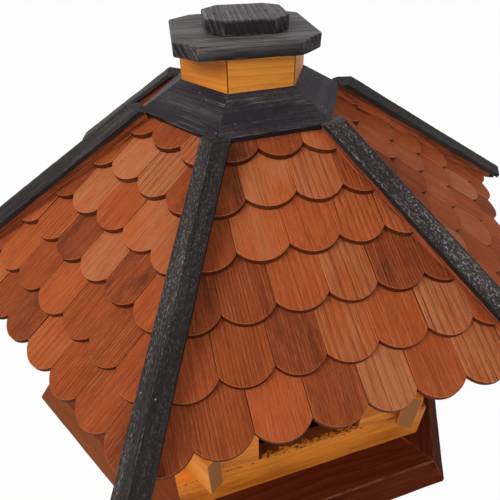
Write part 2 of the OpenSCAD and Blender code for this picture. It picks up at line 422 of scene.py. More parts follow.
def pine_finish():
    """Orange glaze on planed pine, with end grain and torn sills."""
    material, tree = start_finish("honey_pine")
    tone = attribute(tree, "tone")
    place = attribute(tree, "grain", output="Vector")
    lines = growth_lines(tree, place, PINE_YEAR, wander=4.2, sharpness=2.2)
    fibre = speckle(tree, place, (26, 620, 620), detail=3.0, roughness=0.6)
    cloud = speckle(tree, place, (9, 38, 38), detail=2.0)
    glaze = mix(tree, cloud.between(0.36, 0.62), PINE_DEEP_COLOUR, PINE_COLOUR)
    glaze = mix(tree, tone * 0.55 + (fibre - 0.5) * 0.6, glaze, PINE_PALE_COLOUR)
    glaze = mix(tree, lines * 0.42, glaze, PINE_DEEP_COLOUR)
    end_lines = growth_lines(tree, place, PINE_END_YEAR, wander=1.2, sharpness=1.5)
    end_wood = mix(tree, end_lines * 0.5, PINE_END_COLOUR, PINE_TORN_COLOUR)
    glaze = mix(tree, attribute(tree, "end"), glaze, end_wood)
    ragged = speckle(tree, place, (190, 330, 330), detail=3.0, roughness=0.65)
    behind_rim = (attribute(tree, "rim") + (ragged - 0.5) * PINE_RIM_WANDER).between(*PINE_RIM)
    chips = ragged.between(0.55, 0.59) * attribute(tree, "fall").between(*PINE_CHIP_FALL)
    torn = attribute(tree, "top") * chips.math("MAXIMUM", chips, behind_rim)
    colour = mix(tree, torn * 0.92, glaze, PINE_TORN_COLOUR)
    relief = fibre * 0.35 + lines * 0.3 - torn * 2.0
    roughness = 0.40 + fibre * 0.16 + attribute(tree, "end") * 0.3
    end_finish(tree, colour, roughness, relief, PINE_RELIEF, {"Specular IOR Level": 0.14})
    return material


pine_material = pine_finish()
print(pine_material.name, len(pine_material.node_tree.nodes), "nodes")

# %% [markdown]
# Red-brown base
#
# The base boards and the floor have a dark mahogany glaze, laid on with a broad brush. It is dull by
# now, and it gathers in the grain. Planks of the floor have faded in random streaks, and on the border
# boards that face the lamp the lighter streaks are painted light. A paler line along the arris of the
# bevel is a painted highlight.

# %% Finish of the base
BASE_COLOUR = (0.092, 0.016, 0.005, 1)
BASE_DARK_COLOUR = (0.036, 0.006, 0.002, 1)
BASE_PALE_AND_HIGHLIGHT_COLOUR = (0.230, 0.085, 0.038, 1)
BASE_FADED_AND_LIT_COLOUR = (0.240, 0.070, 0.026, 1)
BASE_YEAR = 12.0 * MM
BASE_RELIEF = 0.5 * MM


def base_finish():
    """Mahogany glaze with brush streaks, fading that stands as painted light on boards facing the lamp, and
    painted highlights on the edges.
    """
    material, tree = start_finish("mahogany_glaze")
    tone = attribute(tree, "tone")
    place = attribute(tree, "grain", output="Vector")
    lines = growth_lines(tree, place, BASE_YEAR, wander=3.4, sharpness=2.0)
    fibre = speckle(tree, place, (18, 520, 520), detail=3.0, roughness=0.6)
    brushed = speckle(tree, place, (5, 140, 140), detail=2.0)
    # A high tone means less dark glaze and lighter streaks. On the border boards this is painted light.
    gathered = lines * 0.45 + brushed.between(0.35, 0.75) * 0.35 + 0.16 - tone * 0.4
    faded_and_lit = tone.between(0.55, 1.0) * (0.2 + brushed * 0.5 + fibre * 0.7)
    glaze = mix(tree, gathered, BASE_COLOUR, BASE_DARK_COLOUR)
    glaze = mix(tree, faded_and_lit, glaze, BASE_FADED_AND_LIT_COLOUR)
    glaze = mix(tree, (fibre - 0.52).between(0.0, 0.25) * 0.25, glaze, BASE_PALE_AND_HIGHLIGHT_COLOUR)
    # Painted highlight: a paler line along the eased edges, broken by noise.
    rub = speckle(tree, place, (26, 60, 60), detail=3.0, roughness=0.7)
    wear_and_highlight = attribute(tree, "arris") * rub.between(0.38, 0.62)
    colour = mix(tree, wear_and_highlight * 0.55, glaze, BASE_PALE_AND_HIGHLIGHT_COLOUR)
    relief = fibre * 0.5 + lines * 0.4
    end_finish(tree, colour, 0.58 + fibre * 0.2, relief, BASE_RELIEF, {"Specular IOR Level": 0.02})
    return material


base_material = base_finish()
print(base_material.name, len(base_material.node_tree.nodes), "nodes")

# %% [markdown]
# Black stain
#
# Battens, collar and cap are stained black, but not alike. The battens were brushed rough, and grey
# specks along their upper faces are painted glints, most on the faces turned to the lamp. Raw red-brown
# wood shows at their seats and ends, painted bright as painted light against the shade under a batten.
# The collar is smooth slate with fine scratches. On the cap the grain stands out in grey streaks, and on
# the faces that look up more grey is painted as sheen. One function makes the three, each from a stain
# of its own and a few amounts.

# %% Finishes of the black pieces
# Grey for the grain and painted sheen, a lighter grey for wear and painted glints, and raw wood bright enough
# to be painted light in the shade.
BLACK_GREY_AND_SHEEN_COLOUR = (0.234, 0.214, 0.216, 1)
BLACK_WEAR_AND_GLINT_COLOUR = (0.330, 0.300, 0.290, 1)
BLACK_RAW_AND_LIT_COLOUR = (0.420, 0.105, 0.034, 1)
BLACK_RAW_DARK_COLOUR = (0.130, 0.028, 0.010, 1)
BLACK_YEAR = 6.0 * MM
BLACK_AMOUNTS = {
    "batten_black": {"stain": (0.0155, 0.0112, 0.0112, 1), "wash_and_sheen": 0.05, "streaks": 0.15, "glint": 0.62,
                     "scratches": 0.05, "lines": 0.06, "rub": 0.12, "raw": 1.0, "relief": 0.6 * MM},
    "collar_black": {"stain": (0.0165, 0.0130, 0.0172, 1), "wash_and_sheen": 0.04, "streaks": 0.16, "glint": 0.12,
                     "scratches": 0.75, "lines": 0.02, "rub": 0.15, "raw": 0.0, "relief": 0.2 * MM},
    "cap_black": {"stain": (0.0155, 0.0128, 0.0150, 1), "wash_and_sheen": 0.30, "streaks": 0.58, "glint": 0.10,
                  "scratches": 0.20, "lines": 0.85, "rub": 0.15, "raw": 0.0, "relief": 0.3 * MM},
}


def black_finish(name, stain, wash_and_sheen, streaks, glint, scratches, lines, rub, raw, relief):
    """Black stain on softwood, with grey grain, painted glints and sheen, scratches and wear in given
    amounts.
    """
    material, tree = start_finish(name)
    tone = attribute(tree, "tone")
    lit_top = attribute(tree, "top")
    place = attribute(tree, "grain", output="Vector")
    years = growth_lines(tree, place, BLACK_YEAR, wander=2.4, sharpness=3.0)
    fibre = speckle(tree, place, (22, 620, 620), detail=3.0, roughness=0.65)
    band = speckle(tree, place, (7, 80, 80), detail=2.0)
    rough = speckle(tree, place, (330, 620, 620), detail=2.0, roughness=0.7)
    grain_grey = band.between(0.40, 0.70) * streaks + years * lines
    # Faces that look up take more grey, partly from the grain and partly as painted sheen.
    grey = (grain_grey * (lit_top * 0.5 + 0.5) + lit_top * wash_and_sheen) * (1.0 - attribute(tree, "end") * 0.85)
    grey_and_sheen = mix(tree, grey * fibre.between(0.28, 0.70), stain, BLACK_GREY_AND_SHEEN_COLOUR)
    # Painted highlight: glinting specks in patches of painted sheen, most on faces that look up.
    sheen = band.between(0.34, 0.62) * 0.8 + 0.2
    glints = rough.between(0.50, 0.70) * sheen * glint * tone * (lit_top * 0.9 + 0.1)
    hair = speckle(tree, place, (12, 1500, 300), detail=0.0).between(0.68, 0.76)
    patch = speckle(tree, place, (28, 30, 30), detail=1.0).between(0.52, 0.68)
    edge = attribute(tree, "arris") * speckle(tree, place, (45, 90, 90), detail=3.0).between(0.45, 0.65)
    wear_and_highlight = glints + hair * patch * scratches + edge * rub
    colour = mix(tree, wear_and_highlight.math("MINIMUM", wear_and_highlight, 0.9), grey_and_sheen, BLACK_WEAR_AND_GLINT_COLOUR)
    # Raw wood at ends and seats, painted bright as painted light against the shade under a batten.
    raw_and_lit_wood = mix(tree, fibre.between(0.35, 0.65), BLACK_RAW_DARK_COLOUR, BLACK_RAW_AND_LIT_COLOUR)
    colour = mix(tree, attribute(tree, "end") * raw, colour, raw_and_lit_wood)
    height = fibre * 0.5 + rough * glint - years * lines
    end_finish(tree, colour, 0.45 + fibre * 0.22, height, relief, {"Specular IOR Level": 0.08})
    return material


black_materials = {name: black_finish(name, **amounts) for name, amounts in BLACK_AMOUNTS.items()}
print("black finishes:", list(black_materials))

# %% [markdown]
# Boards with eased edges
#
# A board straight from the model has knife edges and dead flat faces, and no real board has either.
# We could bevel with a modifier, but we also want to know which faces are the eased edge, which are
# end grain and which are tops that the saw has marked or that take painted sheen, so we work on the
# mesh. Each board of a node is welded, eased, cut across at short steps, and its points are moved by a
# fraction of a millimetre. Wide boarding is first sawn into planks.

# %% Take boards from the frame
WELD = 0.01 * MM
FLAT_ANGLE = math.radians(1)
EDGE_ANGLE = math.radians(12)


def boards_of(node):
    """The separate boards of a node, each a welded mesh with whole flat faces."""
    whole = bmesh.new()
    whole.from_mesh(nodes[node].data)
    bmesh.ops.remove_doubles(whole, verts=whole.verts[:], dist=WELD)
    bmesh.ops.dissolve_limit(whole, angle_limit=FLAT_ANGLE, verts=whole.verts[:], edges=whole.edges[:])
    whole.faces.index_update()
    seen = [False] * len(whole.faces)
    boards = []
    for first in whole.faces[:]:
        if seen[first.index]:
            continue
        seen[first.index] = True
        group = [first]
        for face in group:
            for near in (other for edge in face.edges for other in edge.link_faces):
                if not seen[near.index]:
                    seen[near.index] = True
                    group.append(near)
        kept = {face.index for face in group}
        board = whole.copy()
        others = [face for face in board.faces if face.index not in kept]
        bmesh.ops.delete(board, geom=others, context="FACES")
        boards.append(board)
    whole.free()
    return boards


def saw(board, point, normal, keep_below):
    """Cuts a closed board at a plane, drops one side if asked, and closes the cut."""
    cut = bmesh.ops.bisect_plane(board, geom=board.verts[:] + board.edges[:] + board.faces[:], dist=WELD,
                                 plane_co=point, plane_no=normal, clear_outer=keep_below)
    if keep_below:
        edges = [part for part in cut["geom_cut"] if isinstance(part, bmesh.types.BMEdge)]
        bmesh.ops.holes_fill(board, edges=edges, sides=0)


print("boards in border_boards_a:", len(boards_of("border_boards_a")))

# %% Find which way the grain runs
UPWARD_LIMIT = 0.1


def outward(centre, offset):
    """The level direction, of the six that start at an offset, nearest to a place seen from the axis."""
    turn = math.atan2(centre.y, centre.x) - offset
    turn = round(turn / SIDE_ANGLE) * SIDE_ANGLE + offset
    return Vector((math.cos(turn), math.sin(turn), 0))


def centre_of(board):
    """The mean of a board's corners."""
    return sum((vert.co for vert in board.verts), Vector()) / len(board.verts)


def upper_face(board):
    """The largest face that looks up."""
    return max(board.faces, key=lambda face: face.calc_area() * (face.normal.z > UPWARD_LIMIT))


def grain_on_wall(board):
    """Along the side, up the wall and out of it."""
    out = outward(centre_of(board), -math.pi / 2)
    return UP.cross(out), UP.copy(), out


def grain_on_base(board):
    """Along the side, out from the axis and up."""
    out = outward(centre_of(board), -math.pi / 2)
    return UP.cross(out), out, UP.copy()


def grain_on_slope(board):
    """Along the side, down the slope and out of it."""
    along = grain_on_wall(board)[0]
    upper = upper_face(board)
    return along, upper.normal.cross(along), upper.normal.copy()


def grain_on_hip(board):
    """Along the longest edge, across it and up."""
    longest = max(board.edges, key=lambda edge: edge.calc_length())
    along = (longest.verts[1].co - longest.verts[0].co).normalized()
    across = UP.cross(along).normalized()
    return along, across, along.cross(across)


def grain_on_block(board):
    """From front to back, square to the longest edge."""
    along, across, depth = grain_on_hip(board)
    return across, -along, depth


def grain_on_floor(board):
    """From left to right."""
    return Vector((1, 0, 0)), Vector((0, 1, 0)), UP.copy()


front_rail = boards_of("lower_rail_front")[0]
print("front wall grain:", [tuple(round(v) for v in axis) for axis in grain_on_wall(front_rail)])

# %% Saw into planks, ease and divide
PLANK_GAP = 0.8 * MM
ARRIS_SEGMENTS = 2
ARRIS_PROFILE = 0.6


def planks_of(board, axes, width):
    """A wide board sawn into planks along its grain, with open joints."""
    across = axes[1]
    reach = [vert.co.dot(across) for vert in board.verts]
    count = max(1, round((max(reach) - min(reach)) / width))
    step = (max(reach) - min(reach)) / count
    planks = []
    for number in range(count):
        plank = board.copy()
        low = min(reach) + number * step + PLANK_GAP / 2
        high = low + step - PLANK_GAP
        saw(plank, across * high, across, keep_below=True)
        saw(plank, across * low, -across, keep_below=True)
        bmesh.ops.recalc_face_normals(plank, faces=plank.faces[:])
        planks.append(plank)
    return planks


def ease(board, along, arris, step):
    """Eases the edges, cuts the board across at every step, and gives the layer that marks eased faces."""
    marks = board.faces.layers.float.new("arris")
    edges = [edge for edge in board.edges if edge.calc_face_angle(0) > EDGE_ANGLE]
    eased = bmesh.ops.bevel(board, geom=edges, offset=arris, segments=ARRIS_SEGMENTS, profile=ARRIS_PROFILE,
                            affect="EDGES", clamp_overlap=True, loop_slide=True)
    for face in eased["faces"]:
        face[marks] = 1.0
    reach = [vert.co.dot(along) for vert in board.verts]
    for number in range(1, int((max(reach) - min(reach)) / step)):
        saw(board, along * (min(reach) + number * step), along, keep_below=False)
    board.normal_update()
    return marks


print("edges that turn by more than", round(math.degrees(EDGE_ANGLE)), "degrees are eased")

# %% [markdown]
# What a finish reads
#
# A worked board hands its values on to the finish. Points carry their place along the grain, how far
# they lie behind the outer face (rim), how far below the highest point (fall), and the board's tone.
# Faces say whether they are an eased edge (arris), end grain or raw wood (end), or a top that the saw
# has marked or that takes painted sheen, with a smaller share as painted shade on faces turned to the
# right (top).

# %% Roughen a board and read its faces
SWAY_LENGTH = 0.045
PICK_LENGTH = 0.007
PICK_LIMIT = 0.2
END_FACING = 0.9
FACING_LIMIT = 0.5
# Faces turned further right than this get a smaller share of a top, as painted shade.
LIT_SIDE_LIMIT = 0.2
SHADED_SIDE_SHARE = 0.4
WHOLE_TOP = 1.0
NO_TOP = 0.0


def roughened(board, marks, sway, start):
    """The board's points, moved by a slow sway, and at eased edges by small picks as well."""
    moved = []
    for vert in board.verts:
        at_edge = any(face[marks] for face in vert.link_faces)
        bend = noise.noise(vert.co / SWAY_LENGTH + start)
        pick = noise.noise(vert.co / PICK_LENGTH + start) if at_edge else 0.0
        moved.append(vert.co + vert.normal * (sway * bend + sway * min(pick, PICK_LIMIT)))
    return moved


def face_values(board, marks, axes, top_half, seat):
    """Eased edges, end grain or raw seat, and marked tops. Faces turned to the right, away from the lamp,
    keep a smaller share of a top as painted shade.
    """
    along, _, depth = axes
    centre = centre_of(board)
    lowest = min(vert.co.dot(depth) for vert in board.verts)
    values = {"arris": [], "end": [], "top": []}
    for face in board.faces:
        middle = face.calc_center_median()
        in_seat = middle.dot(depth) < lowest + seat
        end_grain = abs(face.normal.dot(along)) > END_FACING and not face[marks]
        looks_up = face.normal.z > FACING_LIMIT and abs((middle - centre).dot(along)) < top_half
        before_sill = NO_TOP < top_half < WHOLE_TOP and face.normal.dot(depth) > FACING_LIMIT
        # Painted shade: faces turned to the right, away from the lamp, keep a smaller share of a top.
        lit_side_share = 1.0 if face.normal.x < LIT_SIDE_LIMIT else SHADED_SIDE_SHARE
        values["arris"].append(face[marks])
        values["end"].append(float(in_seat or end_grain))
        values["top"].append(float(looks_up or before_sill) * lit_side_share)
    return values


print("boards sway over", SWAY_LENGTH, "m, and their edges are picked over", PICK_LENGTH, "m")

# %% Work one board
GRAIN_REACH = 9.0


def work(board, axes, arris, step, sway, top_half, seat, tone, draw):
    """Works one board, and lists its points and faces with all that its finish reads."""
    along, _, depth = axes
    marks = ease(board, along, arris, step)
    drawn_tone = draw.random()
    start = Vector([draw.uniform(-GRAIN_REACH, GRAIN_REACH) for _ in range(3)])
    centre = centre_of(board)
    outer = max(vert.co.dot(depth) for vert in board.verts)
    highest = max(vert.co.z for vert in board.verts)
    grain = [[(vert.co - centre).dot(axis) + begin for axis, begin in zip(axes, start)]
             for vert in board.verts]
    board.verts.index_update()
    return {
        "points": roughened(board, marks, sway, start),
        "faces": [[vert.index for vert in face.verts] for face in board.faces],
        "grain": grain,
        "point_values": {
            "rim": [outer - vert.co.dot(depth) for vert in board.verts],
            "fall": [highest - vert.co.z for vert in board.verts],
            "tone": [drawn_tone if tone is None else tone] * len(board.verts),
        },
        "face_values": face_values(board, marks, axes, top_half, seat),
    }


print("a grain pattern starts up to", GRAIN_REACH, "m away, so no two boards are alike")

# %% Put worked boards together as a piece
def joined(name, worked, material):
    """One mesh object from worked boards, with what their finish reads stored on it."""
    points = []
    faces = []
    for board in worked:
        faces += [[index + len(points) for index in face] for face in board["faces"]]
        points += board["points"]
    mesh = bpy.data.meshes.new(name)
    mesh.from_pydata(points, [], faces)
    grain = [value for board in worked for place in board["grain"] for value in place]
    mesh.attributes.new("grain", "FLOAT_VECTOR", "POINT").data.foreach_set("vector", grain)
    for group, domain in (("point_values", "POINT"), ("face_values", "FACE")):
        for key in worked[0][group]:
            values = [value for board in worked for value in board[group][key]]
            mesh.attributes.new(key, "FLOAT", domain).data.foreach_set("value", values)
    mesh.materials.append(material)
    return placed(name, mesh)


def dressed(node, grain_rule, material, arris, step, sway, top_half=NO_TOP, plank_width=None,
            shape=None, seat=0.0, tone=None):
    """A finished piece that stands for a node.

    A shape trims each board before it is worked. The top is marked as far as top_half from the middle of a
    board, and the seat is raw up to its height. A tone, a number or a rule, takes the place of a drawn one.
    """
    draw = random.Random(node)
    worked = []
    for board in boards_of(node):
        axes = grain_rule(board)
        if shape:
            shape(board, axes)
        for plank in planks_of(board, axes, plank_width) if plank_width else [board]:
            own_tone = tone(axes) if callable(tone) else tone
            worked.append(work(plank, axes, arris, step, sway, top_half, seat, own_tone, draw))
    piece = joined(node + "_worked", worked, material)
    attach(piece, "root")
    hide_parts(node)
    return piece


print("boards are worked one at a time, each with its own random start")

# %% [markdown]
# Base and floor
#
# Six mitred boards with a bevelled outer edge frame a planked floor. The bevel and the mitres come
# from the model. We only ease the edges, more on the outer boards, because hands and weather get there,
# and paint the glaze of the boards that face left lighter, as painted light from the lamp on that side.

# %% Dress the base
pieces = []


def lit_side_tone(axes):
    """The tone of a border board, as painted light: higher the more it faces left, where the lamp is."""
    return 0.5 - 0.5 * axes[1].x


pieces.append(dressed("floor_plate", grain_on_floor, base_material,
                      arris=1.0 * MM, step=0.06, sway=0.2 * MM, plank_width=0.085))
for letter in "ab":
    pieces.append(dressed("border_boards_" + letter, grain_on_base, base_material,
                          arris=1.6 * MM, step=0.012, sway=0.5 * MM, tone=lit_side_tone))
print("base pieces:", [piece.name for piece in pieces])

# %% [markdown]
# Walls of crossed boards
#
# Rails run round below and above, and between them lie short blocks that leave a feed opening on every
# side. Every second side has its boards run past the corner, as in a log house. The top of a lower
# rail is the sill of its opening, and there the saw has torn it.

# %% Dress the walls
SILL_HALF = 66.0 * MM
for side in SIDES:
    pieces.append(dressed("lower_rail_" + side, grain_on_wall, pine_material,
                          arris=1.4 * MM, step=0.008, sway=0.5 * MM, top_half=SILL_HALF))
    pieces.append(dressed("upper_rail_" + side, grain_on_wall, pine_material,
                          arris=1.2 * MM, step=0.015, sway=0.4 * MM))
for kind in ("crossing", "butted"):
    for level in ("lower", "upper"):
        pieces.append(dressed(f"{kind}_blocks_{level}", grain_on_wall, pine_material,
                              arris=1.4 * MM, step=0.008, sway=0.5 * MM))
print("pieces so far:", len(pieces))

# %% [markdown]
# Roof boarding
#
# Under the shingles lies boarding that only shows from below. The model has one plate a side, and here
# it is sawn into planks along the eaves, as it would be nailed over the rails.

# %% Dress the roof boarding
for side in SIDES:
    pieces.append(dressed("roof_deck_" + side, grain_on_slope, pine_material,
                          arris=0.8 * MM, step=0.05, sway=0.2 * MM, plank_width=0.072))
print("pieces so far:", len(pieces))

# %% [markdown]
# Hip battens, collar, cupola and cap
#
# These are what the eye meets first. The model's battens are straight bars, and three changes fit them
# to the roof: the seat is let down between the tips of the shingles, the tail is thinned from below, and
# the upper end is whittled down to the collar. Each hip has its own amount of glint. The cupola's
# mitres stand a little open. The cap has the roundest edges: it is a board whose grain runs from left
# to right, under a block whose grain runs from front to back.

# %% Fit the battens
SEAT_RISE = 4.5 * MM
SCRIBE_DEPTH = 5.5 * MM
RAW_SEAT = 10.0 * MM
WHITTLED_LENGTH = 22.0 * MM
FEATHERED_LENGTH = 32.0 * MM
FEATHER_RISE = 4.0 * MM
# Amounts of painted glint, one for each hip.
BATTEN_GLINTS = {"front_right": 1.2, "front_left": 0.7, "left": 0.15, "back_left": 0.1, "right": 0.05,
                 "back_right": 0.3}


def fit_batten(board, axes):
    """Lets the seat down between the shingle tips, thins the tail and whittles the upper end."""
    along, _, depth = axes
    uphill = along if along.z > 0 else -along
    lowest = min(vert.co.dot(depth) for vert in board.verts)
    lower_end = min(vert.co.dot(uphill) for vert in board.verts)
    saw(board, uphill * (lower_end + FEATHERED_LENGTH), uphill, keep_below=False)
    for vert in board.verts:
        if vert.co.dot(depth) < lowest + SEAT_RISE:
            at_tail = vert.co.dot(uphill) < lower_end + FEATHERED_LENGTH - WELD
            vert.co += depth * (FEATHER_RISE if at_tail else -SCRIBE_DEPTH)
    upper_end = max(vert.co.dot(uphill) for vert in board.verts)
    top = max(vert.co.dot(depth) for vert in board.verts)
    cut_start = uphill * (upper_end - WHITTLED_LENGTH) + depth * top
    saw(board, cut_start, (uphill + depth).normalized(), keep_below=True)
    bmesh.ops.recalc_face_normals(board, faces=board.faces[:])


for hip in HIPS:
    pieces.append(dressed("hip_batten_" + hip, grain_on_hip, black_materials["batten_black"],
                          arris=1.0 * MM, step=0.006, sway=0.4 * MM, top_half=WHOLE_TOP, shape=fit_batten,
                          seat=RAW_SEAT, tone=BATTEN_GLINTS[hip]))
print("pieces so far:", len(pieces))

# %% Dress the top of the roof
CUPOLA_TONES = {"a": 0.95, "b": 0.45}
CORNER_CUT = 1.1 * MM


def open_corners(board, axes):
    """Takes the sharp tip off both mitres, so that the corner joints stand open."""
    along = axes[0]
    reach = [vert.co.dot(along) for vert in board.verts]
    saw(board, along * (max(reach) - CORNER_CUT), along, keep_below=True)
    saw(board, along * (min(reach) + CORNER_CUT), -along, keep_below=True)
    bmesh.ops.recalc_face_normals(board, faces=board.faces[:])


for letter in "ab":
    pieces.append(dressed("collar_boards_" + letter, grain_on_slope, black_materials["collar_black"],
                          arris=0.8 * MM, step=0.010, sway=0.3 * MM, top_half=WHOLE_TOP))
    pieces.append(dressed("cupola_boards_" + letter, grain_on_wall, pine_material,
                          arris=0.5 * MM, step=0.010, sway=0.3 * MM, shape=open_corners,
                          tone=CUPOLA_TONES[letter]))
pieces.append(dressed("cap_board", grain_on_hip, black_materials["cap_black"],
                      arris=2.0 * MM, step=0.008, sway=0.5 * MM, top_half=WHOLE_TOP))
pieces.append(dressed("cap_block", grain_on_block, black_materials["cap_black"],
                      arris=1.8 * MM, step=0.008, sway=0.5 * MM, top_half=WHOLE_TOP))
print("pieces so far:", len(pieces))

# %% [markdown]
# One shingle
#
# A shingle is a thin plate with straight sides and a round end, a shallow arc whose radius follows from
# the width and the depth of the end. The end is cut at a slant, so that its edge, darkened with painted
# shade, shows from above.
# The plate lies with its tip at the origin and its tail up the slope, and it has few faces, because the
# roof repeats it hundreds of times. Each point keeps its place in the plate, for the grain.

# %% Make the shingle
SHINGLE_WIDTH = 49.5 * MM
SHINGLE_THICK = 5.6 * MM
SHINGLE_END = 12.5 * MM
SHINGLE_LENGTH = 68.0 * MM
SHINGLE_ARRIS = 0.7 * MM
BUTT_SLANT = 1.3 * MM
END_STEPS = 14


def shingle_outline(inset, slant):
    """The outline, drawn in by an inset and at the tip also by a slant, from right round the tip to left."""
    half = SHINGLE_WIDTH / 2 - inset
    end = SHINGLE_END - inset
    radius = (half ** 2 + end ** 2) / (2 * end)
    reach = math.asin(half / radius)
    points = [(half, SHINGLE_LENGTH - inset)]
    for number in range(END_STEPS + 1):
        turn = reach * (1 - 2 * number / END_STEPS)
        points.append((radius * math.sin(turn), inset + slant + radius * (1 - math.cos(turn))))
    points.append((-half, SHINGLE_LENGTH - inset))
    return points


def shingle_object():
    """The plate as an object for the roof to repeat."""
    rings = [(0.0, 0.0, 0.0), (0.0, BUTT_SLANT, SHINGLE_THICK - SHINGLE_ARRIS),
             (SHINGLE_ARRIS, BUTT_SLANT, SHINGLE_THICK)]
    points = [(x, y, z) for inset, slant, z in rings for x, y in shingle_outline(inset, slant)]
    count = len(points) // len(rings)
    faces = [list(range(count)), list(range(2 * count, 3 * count))[::-1]]
    for ring in range(len(rings) - 1):
        for number in range(count):
            after = (number + 1) % count
            faces.append([ring * count + number, (ring + 1) * count + number,
                          (ring + 1) * count + after, ring * count + after])
    mesh = bpy.data.meshes.new("shingle")
    mesh.from_pydata(points, [], faces)
    shaped = bmesh.new()
    shaped.from_mesh(mesh)
    bmesh.ops.recalc_face_normals(shaped, faces=shaped.faces[:])
    shaped.to_mesh(mesh)
    shaped.free()
    mesh.attributes.new("grain", "FLOAT_VECTOR", "POINT").data.foreach_set(
        "vector", [value for x, y, z in points for value in (y, x, z)])
    edges = [0.0, 0.0] + [1.0] * count + [0.5] * count
    mesh.attributes.new("edge", "FLOAT", "FACE").data.foreach_set("value", edges)
    return placed("shingle", mesh)


shingle = shingle_object()
print("shingle faces:", len(shingle.data.polygons))

# %% [markdown]
# Courses of shingles
#
# The roof is laid from the eaves up: each course laps the one below, and its joints fall near the
# middle of those shingles. Copying by hand would fix the count. A geometry tree instead makes one point
# for each shingle, works out its course and column, and sets a plate there. Joints wander by a random
# amount that two neighbours share, so plates vary in width and still meet. A course can be shifted
# along the side and dropped down the slope, and a whole side can be twisted. Tone and grain are drawn
# for each plate and stored on it.

# %% Build the tree that lays a roof side
COURSES = 6
COLUMNS = 11
JOINTS_A_COURSE = 64.0
TIP_WANDER = 1.1 * MM
LIFT_WANDER = 0.8 * MM
TILT_WANDER = (-0.010, 0.002)
ROCK_WANDER = (-0.012, 0.012)
SWING_WANDER = (-0.010, 0.010)


def lay_shingles_tree():
    """Points to plates: one side of the roof, flat in its slope, with the axis at the origin."""
    tree = bpy.data.node_groups.new("lay_shingles", "GeometryNodeTree")
    tree.interface.new_socket("Geometry", in_out="OUTPUT", socket_type="NodeSocketGeometry")
    kinds = {"Plate": "Object", "Finish": "Material", "Seed": "Int"}
    sizes = ["Width", "Exposure", "Eave", "Lift", "Tilt", "Joint", "Wander", "Twist"]
    shifts = [f"Shift {course}" for course in range(1, COURSES + 1)]
    drops = [f"Drop {course}" for course in range(1, COURSES + 1)]
    names = list(kinds) + sizes + shifts + drops
    for name in names:
        tree.interface.new_socket(name, in_out="INPUT", socket_type="NodeSocket" + kinds.get(name, "Float"))
    inputs = tree.nodes.new("NodeGroupInput").outputs
    given = {name: Wire(inputs[name]) for name in names}

    def chance(low, high, number, salt):
        """A random value that a number and the seed settle."""
        return Wire.node(tree, "FunctionNodeRandomValue", {"data_type": "FLOAT"},
                         {2: low, 3: high, 7: number, 8: given["Seed"] + salt}, output=1)

    index = Wire.node(tree, "GeometryNodeInputIndex")
    row = math.floor((index + 0.5) / COLUMNS)
    column = index - row * COLUMNS

    def of_course(names_by_course):
        """The input that belongs to the course of a point."""
        switch = tree.nodes.new("GeometryNodeIndexSwitch")
        switch.data_type = "FLOAT"
        while len(switch.index_switch_items) < COURSES:
            switch.index_switch_items.new()
        tree.links.new(row.socket, switch.inputs[0])
        for number, name in enumerate(names_by_course):
            tree.links.new(given[name].socket, switch.inputs[number + 1])
        return Wire(switch.outputs[0])

    shift = of_course(shifts)
    drop = of_course(drops)
    half_step = (row % 2.0) * 0.5
    start = (column - COLUMNS / 2 + half_step) * given["Width"] + shift
    joint_number = row * JOINTS_A_COURSE + column
    left = start + chance(-1.0, 1.0, joint_number, 1) * given["Wander"]
    right = start + given["Width"] + chance(-1.0, 1.0, joint_number + 1.0, 1) * given["Wander"]
    level = given["Eave"] - (COURSES - 1 - row) * given["Exposure"] + drop
    tip = level + (left + right) / 2 * given["Twist"] + chance(-1.0, 1.0, index, 2) * TIP_WANDER
    height = given["Lift"] + chance(0.0, LIFT_WANDER, index, 3)
    place = Wire.node(tree, "ShaderNodeCombineXYZ", None, {0: (left + right) / 2, 1: tip * -1.0, 2: height})
    points = Wire.node(tree, "GeometryNodePoints", None, {"Count": COURSES * COLUMNS, "Position": place})
    turn = Wire.node(tree, "ShaderNodeCombineXYZ", None, {
        0: chance(*TILT_WANDER, index, 4) - given["Tilt"],
        1: chance(*ROCK_WANDER, index, 5),
        2: chance(*SWING_WANDER, index, 6) - given["Twist"]})
    scale = Wire.node(tree, "ShaderNodeCombineXYZ", None,
                      {0: (right - left - given["Joint"]) / SHINGLE_WIDTH, 1: 1.0, 2: 1.0})
    plate = Wire.node(tree, "GeometryNodeObjectInfo", None, {"Object": given["Plate"]}, output="Geometry")
    laid = Wire.node(tree, "GeometryNodeInstanceOnPoints", None,
                     {"Points": points, "Instance": plate, "Rotation": turn, "Scale": scale})
    grain_start = Wire.node(tree, "ShaderNodeCombineXYZ", None,
                            {axis: chance(-GRAIN_REACH, GRAIN_REACH, index, 10 + axis) for axis in range(3)})
    own = {"tone": ("FLOAT", chance(0.0, 1.0, index, 7)), "character": ("FLOAT", chance(0.0, 1.0, index, 8)),
           "shift": ("FLOAT_VECTOR", grain_start)}
    for name, (kind, value) in own.items():
        laid = Wire.node(tree, "GeometryNodeStoreNamedAttribute", {"data_type": kind, "domain": "INSTANCE"},
                         {"Geometry": laid, "Name": name, "Value": value})
    real = Wire.node(tree, "GeometryNodeRealizeInstances", None, {"Geometry": laid})
    done = Wire.node(tree, "GeometryNodeSetMaterial", None, {"Geometry": real, "Material": given["Finish"]})
    tree.links.new(done.socket, tree.nodes.new("NodeGroupOutput").inputs[0])
    return tree


lay_shingles = lay_shingles_tree()
print("tree:", lay_shingles.name, len(lay_shingles.nodes), "nodes")

# %% [markdown]
# Laying the roof
#
# The slope comes from the model: the upper face of the front boarding gives the pitch and the height,
# and the front shingles give the eaves. Every side is laid flat, turned up into its slope, swung round
# to its place, and sawn off at both hips, as a roofer would trim it under the batten. The three sides in
# view are laid as listed: each has drops of its own, two are a little twisted, and one has narrower
# shingles. The far sides are laid level.

